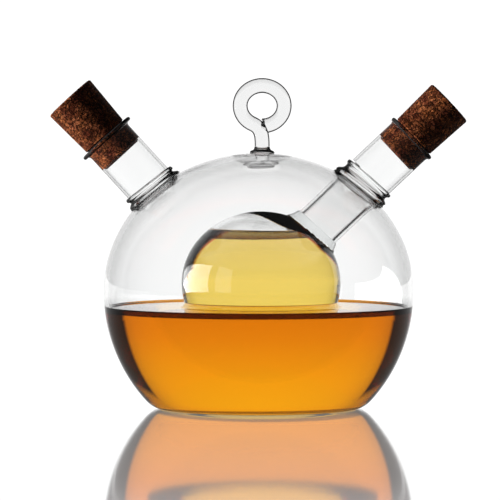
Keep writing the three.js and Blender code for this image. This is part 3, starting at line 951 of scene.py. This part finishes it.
def cork_form(length, out, top_radius, mouth_radius, neck):
    """A stopper for a neck of some length, standing some way out of it, with a pitted skin."""
    grip = NECK_BORE + CORK_PRESS
    low = length - CORK_IN
    shoulder = length + CORK_GAP
    top = length + out
    corners = [
        (0, low),
        (grip - CORK_NARROWING - CORK_CHAMFER, low),
        (grip - CORK_NARROWING, low + CORK_CHAMFER),
        (grip, low + 2 * CORK_CHAMFER),
        (grip, length - MOUTH_EDGE),
        (grip, shoulder),
        (mouth_radius, shoulder + CORK_SPREAD),
        (top_radius, top - CORK_CHAMFER),
        (top_radius - CORK_CHAMFER, top),
        (0, top),
    ]
    sides = zip(corners, corners[1:], CORK_STEPS)
    outline = [p for start, end, steps in sides for p in stretch(start, end, steps)] + corners[-1:]
    form = bmesh.new()
    turn(form, outline, CORK_SIDES)
    form.normal_update()
    for vert in form.verts:
        near, far = noise.voronoi(vert.co / GRANULE)[0][:2]
        crumb = noise.noise(vert.co * CRUMB_SCALE)
        pit = ease(PIT_WIDTH, 0.0, far - near) * ease(*CRUMB_RANGE, crumb)
        free = ease(shoulder, shoulder + PIT_RISE, vert.co.z)
        grit = GRIT_DEPTH * (1 + noise.noise(vert.co * GRIT_SCALE))
        vert.co -= vert.normal * free * (PIT_DEPTH * pit + grit)
    bmesh.ops.transform(form, matrix=neck, verts=form.verts)
    return form


CORK_ROUGHNESS = 0.62
CORK_SHINE = 0.2
WARP_SCALE = 520.0
WARP_REACH = (0.0034, 0.0034, 0.0034)
GRANULE_SCALE = 640.0
GRAIN = {"Scale": 720.0, "Detail": 6.0, "Roughness": 0.7, "Distortion": 2.2}
GRAIN_RELIEF = 0.9
PATCH_SCALE = 240.0
GLUE_LINE = (0.02, 0.1)
GLUE_BROWN = (0.03, 0.010, 0.005, 1)
SKIN_STRENGTH = 0.9
SKIN_DEPTH = 0.0004
BROWNS = [(0.0, (0.13, 0.038, 0.016, 1)), (0.5, (0.30, 0.09, 0.036, 1)), (1.0, (0.5, 0.17, 0.075, 1))]
FLECKS = [(0.38, (0.12, 0.1, 0.1, 1)), (0.62, (1.35, 1.3, 1.25, 1))]
PATCHES = [(0.36, (0.62, 0.5, 0.62, 1)), (0.5, WHITE), (0.66, (1.3, 1.32, 1.1, 1))]
dark_cork = bare_finish("dark_cork")
tree = dark_cork.node_tree
shader = tree.nodes["Principled BSDF"]
shader.inputs["Roughness"].default_value = CORK_ROUGHNESS
shader.inputs["Specular IOR Level"].default_value = CORK_SHINE
place = node(tree, "TexCoord", {}).outputs["Object"]
warp = node(tree, "TexNoise", {"Vector": place, "Scale": WARP_SCALE, "Detail": 4.0}).outputs["Color"]
warped = {"Vector": reckon_way(tree, "MULTIPLY_ADD", warp, WARP_REACH, place), "Scale": GRANULE_SCALE}
granules = node(tree, "TexVoronoi", warped).outputs["Color"]
gaps = node(tree, "TexVoronoi", warped, feature="DISTANCE_TO_EDGE").outputs["Distance"]
granule_pick = node(tree, "SeparateColor", {"Color": granules}).outputs["Red"]
grain = node(tree, "TexNoise", {"Vector": place, **GRAIN}).outputs["Fac"]
speckled = overlay(tree, ramp(tree, granule_pick, BROWNS), ramp(tree, grain, FLECKS))
patch = node(tree, "TexNoise", {"Vector": place, "Scale": PATCH_SCALE, "Detail": 2.0}).outputs["Fac"]
mottled = overlay(tree, speckled, ramp(tree, patch, PATCHES))
glue = spread(tree, gaps, *GLUE_LINE)
cracked = node(tree, "Mix", {"Factor": glue, "A": GLUE_BROWN, "B": mottled}, data_type="RGBA")
tree.links.new(cracked.outputs["Result"], shader.inputs["Base Color"])
relief = reckon(tree, "MULTIPLY_ADD", grain, GRAIN_RELIEF, glue)
rough_skin = node(tree, "Bump", {"Height": relief, "Strength": SKIN_STRENGTH, "Distance": SKIN_DEPTH})
tree.links.new(rough_skin.outputs["Normal"], shader.inputs["Normal"])
left_cork_form = cork_form(LEFT_LENGTH, LEFT_CORK_OUT, LEFT_CORK_TOP, LEFT_CORK_MOUTH, LEFT_FRAME)
left_cork = settle("left_cork_stopper", left_cork_form, dark_cork)
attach(left_cork, "left_cork")
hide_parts("left_cork")
right_cork_form = cork_form(RIGHT_LENGTH, RIGHT_CORK_OUT, RIGHT_CORK_TOP, RIGHT_CORK_MOUTH, RIGHT_FRAME)
right_cork = settle("right_cork_stopper", right_cork_form, dark_cork)
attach(right_cork, "right_cork")
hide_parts("right_cork")

# Table: a plain sheet of white gloss acrylic, wide enough to run out of sight, which mirrors the
# cruet that stands on it. Its mirror fades out, and its glow rises, away from the cruet; in what
# the glass mirrors, the dim glow near the cruet is painted shade.
TABLE_RADIUS = 40.0
TABLE_SIDES = 96
TABLE_DROP = -0.0002
TABLE_GLOW = 0.8
TABLE_SHADE = 0.1
TABLE_GLARE = 1.1
TABLE_POLISH = 1.35
TABLE_ROUGHNESS = 0.05
TABLE_BEND = 1.5
TABLE_NEAR = 0.25
TABLE_FAR = 0.8
TABLE_WHITE = (0.9, 0.9, 0.9, 1)
PANEL_EDGE = (math.radians(46), math.radians(50))
BESIDE_PANEL = 0.05
BASE_EDGE = (0.046, 0.054)
FRONT_REACH = (-0.4, 0.0)
FRONT_DIMNESS = 0.05
AT_LEAST_ONE = 0.5
AT_LEAST_THREE = 2.5
table_form = bmesh.new()
bmesh.ops.create_circle(table_form, cap_ends=True, segments=TABLE_SIDES, radius=TABLE_RADIUS)
bmesh.ops.translate(table_form, vec=(0, 0, TABLE_DROP), verts=table_form.verts)
table_mesh = bpy.data.meshes.new("table")
table_form.to_mesh(table_mesh)
table_form.free()
table = bpy.data.objects.new("table", table_mesh)
bpy.context.scene.collection.objects.link(table)
acrylic = bare_finish("white_acrylic")
tree = acrylic.node_tree
tree.nodes.remove(tree.nodes["Principled BSDF"])
seen = node(tree, "LightPath", {})
place = node(tree, "TexCoord", {}).outputs["Object"]
spot = node(tree, "SeparateXYZ", {"Vector": place})
away = reckon_way(tree, "LENGTH", place)
fade = spread(tree, away, TABLE_NEAR, TABLE_FAR, interpolation_type="SMOOTHSTEP")
# Painted shade: for reflected rays the glow is dim near the cruet, rising to full glare far off, and dimmed
# again in front of the cruet.
shaded = spread(tree, fade, 0.0, 1.0, TABLE_SHADE, TABLE_GLARE)
lift = spread(tree, fade, 0.0, 1.0, TABLE_GLOW)
aside = reckon(tree, "ABSOLUTE", spot.outputs["X"])
off_middle = reckon(tree, "ARCTAN2", aside, spot.outputs["Y"])
before_panel = spread(tree, off_middle, *PANEL_EDGE, 1.0, BESIDE_PANEL)
clear_of_base = spread(tree, away, *BASE_EDGE)
flagged = node(tree, "Mix", {"Factor": clear_of_base, "A": 1.0, "B": before_panel}).outputs["Result"]
in_glass = reckon(tree, "MULTIPLY", seen.outputs["Is Transmission Ray"], flagged)
straight = reckon(tree, "MAXIMUM", seen.outputs["Is Camera Ray"], in_glass)
in_sight = reckon(tree, "MULTIPLY", straight, lift)
mirrored_ray = seen.outputs["Is Reflection Ray"]
glow_share = reckon(tree, "MAXIMUM", in_sight, mirrored_ray)
behind = spread(tree, spot.outputs["Y"], *FRONT_REACH, FRONT_DIMNESS)
behind_only = reckon(tree, "MULTIPLY", shaded, behind)
in_gloss = node(tree, "Mix", {"Factor": mirrored_ray, "A": TABLE_GLARE, "B": behind_only})
white = node(tree, "BsdfDiffuse", {"Color": TABLE_WHITE}).outputs["BSDF"]
glow = node(tree, "Emission", {"Strength": in_gloss.outputs["Result"]}).outputs["Emission"]
under = node(tree, "MixShader", {"Fac": glow_share, 1: white, 2: glow}).outputs["Shader"]
gloss = node(tree, "BsdfGlossy", {"Color": WHITE, "Roughness": TABLE_ROUGHNESS}).outputs["BSDF"]
slant = node(tree, "Fresnel", {"IOR": TABLE_BEND}).outputs["Fac"]
near_share = spread(tree, fade, 0.0, 1.0, TABLE_POLISH, 0.0)
mirror = reckon(tree, "MULTIPLY", slant, near_share, clamp=True)
top_coat = node(tree, "MixShader", {"Fac": mirror, 1: under, 2: gloss}).outputs["Shader"]
met_glass = reckon(tree, "GREATER_THAN", seen.outputs["Transmission Depth"], AT_LEAST_THREE)
turned_back = reckon(tree, "GREATER_THAN", seen.outputs["Glossy Depth"], AT_LEAST_ONE)
passed_by = reckon(tree, "MULTIPLY", met_glass, turned_back)
open_below = node(tree, "BsdfTransparent", {}).outputs["BSDF"]
sheet = node(tree, "MixShader", {"Fac": passed_by, 1: top_coat, 2: open_below})
tree.links.new(sheet.outputs["Shader"], tree.nodes["Material Output"].inputs["Surface"])
table_mesh.materials.append(acrylic)

# Studio: a white backdrop behind the cruet that ends in the dark on both sides and so draws the
# glass's outlines, a panel above it, a window of two panes on the left and two soft lamps. What the
# glass mirrors is lit by tables of its own, by how many walls the light has crossed.
AMBIENT = 0.015
BACKDROP_SIDES = [(0, 1.1), (30, 1.08), (40, 1.0), (46, 0.85), (49, 0.04), (180, 0.04)]
BACKDROP_ENDS = [(0, 1.0), (38, 1.0), (48, 0.04), (180, 0.04)]
UPPER_PANEL = [(0, 0.0), (44, 0.0), (46, 0.9), (75, 0.8), (85, 0.03), (180, 0.03)]
UPPER_PANEL_HEIGHT = [(0, 0.0), (33, 0.0), (38, 1.0), (46, 1.0), (53, 0.1), (90, 0.05)]
OFF_THE_SKIN = [
    (0, 1.15), (8, 1.15), (14, 0.8), (24, 0.35), (60, 0.12), (110, 0.1), (150, 0.08), (180, 0.06),
]
OFF_THE_SKIN_HEIGHT = [(0, 1.0), (30, 0.85), (70, 0.35), (90, 0.3)]
WITHIN_THE_WALL = [(0, 1.15), (30, 1.0), (50, 0.4), (180, 0.2)]
WITHIN_THE_WALL_HEIGHT = [(0, 1.0), (25, 1.0), (50, 0.5), (90, 0.4)]
FURTHER_IN = [(0, 0.9), (90, 0.85), (120, 0.3), (180, 0.2)]
FURTHER_IN_HEIGHT = [(0, 0.0), (22, 0.0), (30, 1.0), (90, 1.0)]
WINDOW_BEARING = math.radians(-20)
WINDOW_PANES = [
    {"left": 0.23, "right": 12.0, "low": -0.38, "high": 0.46, "strength": 6.5},
    {"left": -0.49, "right": 0.0, "low": -0.24, "high": 0.5, "strength": 2.2},
]
FOUR_WALLS = 4.0
FEWER_THAN_TWO = 1.5
COUNT_SLACK = 0.5
HALF_TURN = 180
QUARTER_TURN = 90
world = bpy.data.worlds.new("studio")
bpy.context.scene.world = world
world.use_nodes = True
background = world.node_tree.nodes["Background"]
background.inputs["Color"].default_value = WHITE
compass = node(world.node_tree, "TexCoord", {}).outputs["Generated"]
way = node(world.node_tree, "SeparateXYZ", {"Vector": compass})
across = way.outputs["X"]
back = way.outputs["Y"]
up = way.outputs["Z"]
ray = node(world.node_tree, "LightPath", {})
walls_crossed = ray.outputs["Transmission Depth"]
times_mirrored = ray.outputs["Glossy Depth"]


def light(operation, *values):
    """A brightness or an angle worked out from others."""
    return reckon(world.node_tree, operation, *values)


def by_angle(share, full, stops):
    """Brightness by an angle, given as a share of a full span, through stops in degrees."""
    return ramp(world.node_tree, share, [(angle / full, level) for angle, level in stops])


def pick(test, if_so, if_not):
    """One brightness where a test holds, and another where it doesn't."""
    otherwise = light("SUBTRACT", 1.0, test)
    return light("ADD", light("MULTIPLY", if_so, test), light("MULTIPLY", if_not, otherwise))


from_back = light("DIVIDE", light("ARCCOSINE", back), math.pi)
above = light("DIVIDE", light("ARCSINE", up), math.pi / 2)


def panel(angles, heights):
    """Brightness by the angle from straight behind the cruet and by the height above the horizon."""
    return light("MULTIPLY", by_angle(from_back, HALF_TURN, angles), by_angle(above, QUARTER_TURN, heights))


to_side = light("DIVIDE", light("ARCTAN2", light("ABSOLUTE", across), back), math.pi)
up_or_down = light("DIVIDE", light("ARCSINE", light("ABSOLUTE", up)), math.pi)
backdrop = light(
    "MULTIPLY",
    by_angle(to_side, HALF_TURN, BACKDROP_SIDES),
    by_angle(up_or_down, HALF_TURN, BACKDROP_ENDS),
)
seen_through = light("MAXIMUM", backdrop, panel(UPPER_PANEL, UPPER_PANEL_HEIGHT))
entered = light("GREATER_THAN", walls_crossed, AT_LEAST_ONE)
deep = light("GREATER_THAN", walls_crossed, AT_LEAST_THREE)
mirrored = light("GREATER_THAN", times_mirrored, AT_LEAST_ONE)
mirrored_once = light("MULTIPLY", mirrored, light("LESS_THAN", times_mirrored, FEWER_THAN_TWO))
off_four = light("ABSOLUTE", light("SUBTRACT", walls_crossed, FOUR_WALLS))
# The window is lit for light that the bulb mirrors, and for any other that takes as many turns.
bulb_path = light("MULTIPLY", mirrored_once, light("LESS_THAN", off_four, COUNT_SLACK))
off_the_skin = panel(OFF_THE_SKIN, OFF_THE_SKIN_HEIGHT)
within_the_wall = panel(WITHIN_THE_WALL, WITHIN_THE_WALL_HEIGHT)
further_in = light("MAXIMUM", backdrop, panel(FURTHER_IN, FURTHER_IN_HEIGHT))
before_window = light(
    "SUBTRACT",
    light("MULTIPLY", back, math.sin(WINDOW_BEARING)),
    light("MULTIPLY", across, math.cos(WINDOW_BEARING)),
)
beside_window = light(
    "ADD",
    light("MULTIPLY", across, math.sin(WINDOW_BEARING)),
    light("MULTIPLY", back, math.cos(WINDOW_BEARING)),
)
across_window = light("DIVIDE", beside_window, before_window)
up_window = light("DIVIDE", up, before_window)


def window_pane(left, right, low, high, strength):
    """A lit pane of the window on the left, its edges given as slopes from the cruet."""
    inside = light("GREATER_THAN", before_window, 0.0)
    limits = (
        ("GREATER_THAN", across_window, left),
        ("LESS_THAN", across_window, right),
        ("GREATER_THAN", up_window, low),
        ("LESS_THAN", up_window, high),
    )
    for test, value, limit in limits:
        inside = light("MULTIPLY", inside, light(test, value, limit))
    return light("MULTIPLY", inside, strength)


for pane in WINDOW_PANES:
    further_in = light("MAXIMUM", further_in, light("MULTIPLY", window_pane(**pane), bulb_path))
seen_mirrored = pick(deep, further_in, pick(entered, within_the_wall, off_the_skin))
studio = pick(mirrored, seen_mirrored, seen_through)
through_glass = light("MAXIMUM", ray.outputs["Is Glossy Ray"], ray.outputs["Is Transmission Ray"])
looked_at = light("MAXIMUM", ray.outputs["Is Camera Ray"], through_glass)
seen_sky = light("MAXIMUM", ray.outputs["Is Camera Ray"], studio)
sky = pick(looked_at, seen_sky, AMBIENT)
world.node_tree.links.new(sky, background.inputs["Strength"])


def soft_lamp(name, place, target, width, height, watts):
    """A wide lamp turned to a target, which lights the pieces but isn't seen in the glass."""
    lamp = bpy.data.lights.new(name, "AREA")
    lamp.shape = "RECTANGLE"
    lamp.size = width
    lamp.size_y = height
    lamp.energy = watts
    made = bpy.data.objects.new(name, lamp)
    bpy.context.scene.collection.objects.link(made)
    made.location = place
    made.rotation_euler = (Vector(target) - Vector(place)).to_track_quat("-Z", "Y").to_euler()
    made.visible_camera = False
    made.visible_glossy = False
    made.visible_transmission = False


soft_lamp(
    "left_window", place=(-1.15, -0.2, 0.14), target=(0, 0, 0.1), width=0.4, height=0.4, watts=30.0
)
soft_lamp(
    "back_panel", place=(0.0, 1.3, 1.1), target=(0, 0, 0.05), width=1.6, height=1.0, watts=0.8
)

# Camera: a long lens a little above the table, straight on to the cruet's front.
LENS = 250.0
SENSOR = 36.0
FAR_SIGHT = 100.0
PICTURE_WIDTH = 0.19355
CAMERA_TILT = math.radians(2)
AIM = Vector((-0.0033, 0, 0.0611))
lens = bpy.data.cameras.new("camera")
lens.lens = LENS
lens.sensor_width = SENSOR
lens.clip_end = FAR_SIGHT
camera = bpy.data.objects.new("camera", lens)
bpy.context.scene.collection.objects.link(camera)
camera_reach = PICTURE_WIDTH * LENS / SENSOR
camera.location = AIM + Vector((0, -math.cos(CAMERA_TILT), math.sin(CAMERA_TILT))) * camera_reach
camera.rotation_euler = (math.pi / 2 - CAMERA_TILT, 0, 0)
scene = bpy.context.scene
scene.camera = camera
scene.view_settings.view_transform = "Standard"
scene.cycles.max_bounces = 48
scene.cycles.transmission_bounces = 40
scene.cycles.glossy_bounces = 12
scene.cycles.use_denoising = True
